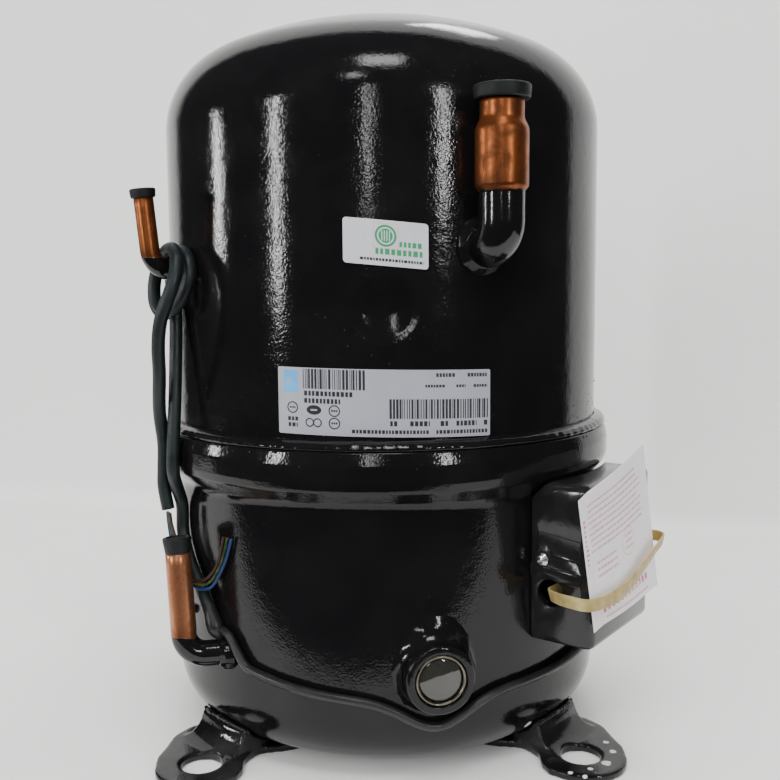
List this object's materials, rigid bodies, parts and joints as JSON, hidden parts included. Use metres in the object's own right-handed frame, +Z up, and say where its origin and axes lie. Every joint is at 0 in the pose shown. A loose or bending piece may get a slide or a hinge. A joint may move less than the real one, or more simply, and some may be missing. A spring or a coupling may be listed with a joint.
{
  "type": "hermetic reciprocating compressor",
  "caption": "Tall welded two-part black compressor shell on stamped feet, with copper stub tubes, sight glass, belt heater, side terminal box and a sprung motor pump inside.",
  "frame": {"origin": "on the shell's axis, on the plane that the feet and the flat of the base stand on", "axes": "+Z up along the shell's axis; the front, with the nameplate and the sight glass, faces -Y; +X is to the right seen from the front"},
  "size_m": [0.2732, 0.2637, 0.383],
  "materials": {
    "black_gloss_paint": "gloss black enamel with a fine orange-peel surface",
    "copper": "copper tube under a thin brown lacquer",
    "plug_rubber": "matt dark grey-green rubber",
    "grey_sheath": "satin dark grey cable sheath",
    "heater_rubber": "satin black silicone rubber",
    "sight_lens": "clear olive-grey glass",
    "zinc_plate": "bright zinc plate",
    "machined_steel": "ground and machined steel",
    "grey_iron": "as-cast grey iron",
    "cast_aluminium": "die-cast aluminium",
    "laminations": "stacked steel sheets",
    "winding_enamel": "enamelled copper wire, varnished",
    "gasket_fibre": "compressed fibre sheet",
    "black_plastic": "gloss black moulding",
    "label_film": "printed white film label",
    "leaflet_paper": "folded white paper with pink print",
    "elastic_band": "beige flat elastic",
    "blue_wire": "blue wire insulation",
    "brown_wire": "brown wire insulation",
    "green_yellow_wire": "green and yellow wire insulation"
  },
  "bodies": {
    "shell": {"lower_shell": "black_gloss_paint", "upper_shell": "black_gloss_paint", "seam_weld": "black_gloss_paint", "foot_front_left": "black_gloss_paint", "foot_front_right": "black_gloss_paint", "foot_rear_left": "black_gloss_paint", "foot_rear_right": "black_gloss_paint", "suction_tube": "copper", "process_tube": "copper", "discharge_tube": "copper", "sight_glass_housing": "black_gloss_paint", "sight_glass_ring": "zinc_plate", "sight_glass_lens": "sight_lens", "heater_belt": "heater_rubber", "heater_cable": "grey_sheath", "wire_blue": "blue_wire", "wire_earth": "green_yellow_wire", "wire_brown": "brown_wire", "hermetic_terminal": "machined_steel", "terminal_fence": "black_gloss_paint", "nameplate": "label_film", "round_mark_label": "label_film", "spring_1": "machined_steel", "spring_2": "machined_steel", "spring_3": "machined_steel", "spring_post_1": "machined_steel", "spring_post_2": "machined_steel", "spring_post_3": "machined_steel", "shock_loop": "copper"},
    "pump": {"crankcase": "grey_iron", "outboard_bearing": "grey_iron", "valve_plate": "machined_steel", "head_gasket": "gasket_fibre", "cylinder_head": "grey_iron", "head_bolt_1": "machined_steel", "head_bolt_2": "machined_steel", "head_bolt_3": "machined_steel", "head_bolt_4": "machined_steel", "discharge_muffler": "machined_steel", "stator_core": "laminations", "winding_upper": "winding_enamel", "winding_lower": "winding_enamel"},
    "crank": {"crankshaft": "machined_steel", "rotor": "cast_aluminium", "counterweight": "grey_iron", "oil_pickup": "machined_steel"},
    "rod": {"connecting_rod": "cast_aluminium", "wrist_pin": "machined_steel"},
    "piston_body": {"piston": "machined_steel"},
    "suction_valve": {"suction_reed": "machined_steel"},
    "discharge_valve": {"discharge_reed": "machined_steel"},
    "cover": {"terminal_cover": "black_plastic", "cover_screw": "zinc_plate", "leaflet": "leaflet_paper", "rubber_band": "elastic_band"},
    "suction_stopper": {"suction_plug": "plug_rubber"},
    "process_stopper": {"process_plug": "plug_rubber"},
    "discharge_stopper": {"discharge_plug": "plug_rubber"}
  },
  "joints": [
    {"name": "pump_suspension", "type": "slide", "parent": "shell", "child": "pump", "axis": [0, 0, 1], "range_m": [-0.0025, 0.0025], "stiffness_N_per_m": 60000, "springref_m": 0.0041, "deforming": ["spring_1", "spring_2", "spring_3"]},
    {"name": "crank_spin", "type": "hinge", "parent": "pump", "child": "crank", "pos_m": [0, 0, 0.112], "axis": [0, 0, 1], "continuous": true},
    {"name": "rod_on_crankpin", "type": "hinge", "parent": "crank", "child": "rod", "pos_m": [0.0131, 0, 0.112], "axis": [0, 0, 1], "continuous": true},
    {"name": "piston_stroke", "type": "slide", "parent": "pump", "child": "piston_body", "axis": [1, 0, 0], "range_m": [-0.0262, 0]},
    {"name": "suction_reed_flex", "type": "hinge", "parent": "pump", "child": "suction_valve", "pos_m": [0.09, -0.01, 0.123], "axis": [0, 1, 0], "range_deg": [0, 2.5], "stiffness_Nm_per_rad": 0.4},
    {"name": "discharge_reed_flex", "type": "hinge", "parent": "pump", "child": "discharge_valve", "pos_m": [0.0946, 0.01, 0.123], "axis": [0, 1, 0], "range_deg": [-3, 0], "stiffness_Nm_per_rad": 0.4},
    {"name": "cover_release", "type": "slide", "parent": "shell", "child": "cover", "axis": [0.7902, -0.6129, 0], "range_m": [0, 0.06]},
    {"name": "suction_plug_pull", "type": "slide", "parent": "shell", "child": "suction_stopper", "axis": [0, 0, 1], "range_m": [0, 0.03]},
    {"name": "process_plug_pull", "type": "slide", "parent": "shell", "child": "process_stopper", "axis": [-0.0866, -0.0238, 0.996], "range_m": [0, 0.025]},
    {"name": "discharge_plug_pull", "type": "slide", "parent": "shell", "child": "discharge_stopper", "axis": [-0.0529, 0.0637, 0.9966], "range_m": [0, 0.03]}
  ],
  "couplings": [
    {"joint": "rod_on_crankpin", "follows": "crank_spin", "ratio": -1}
  ]
}
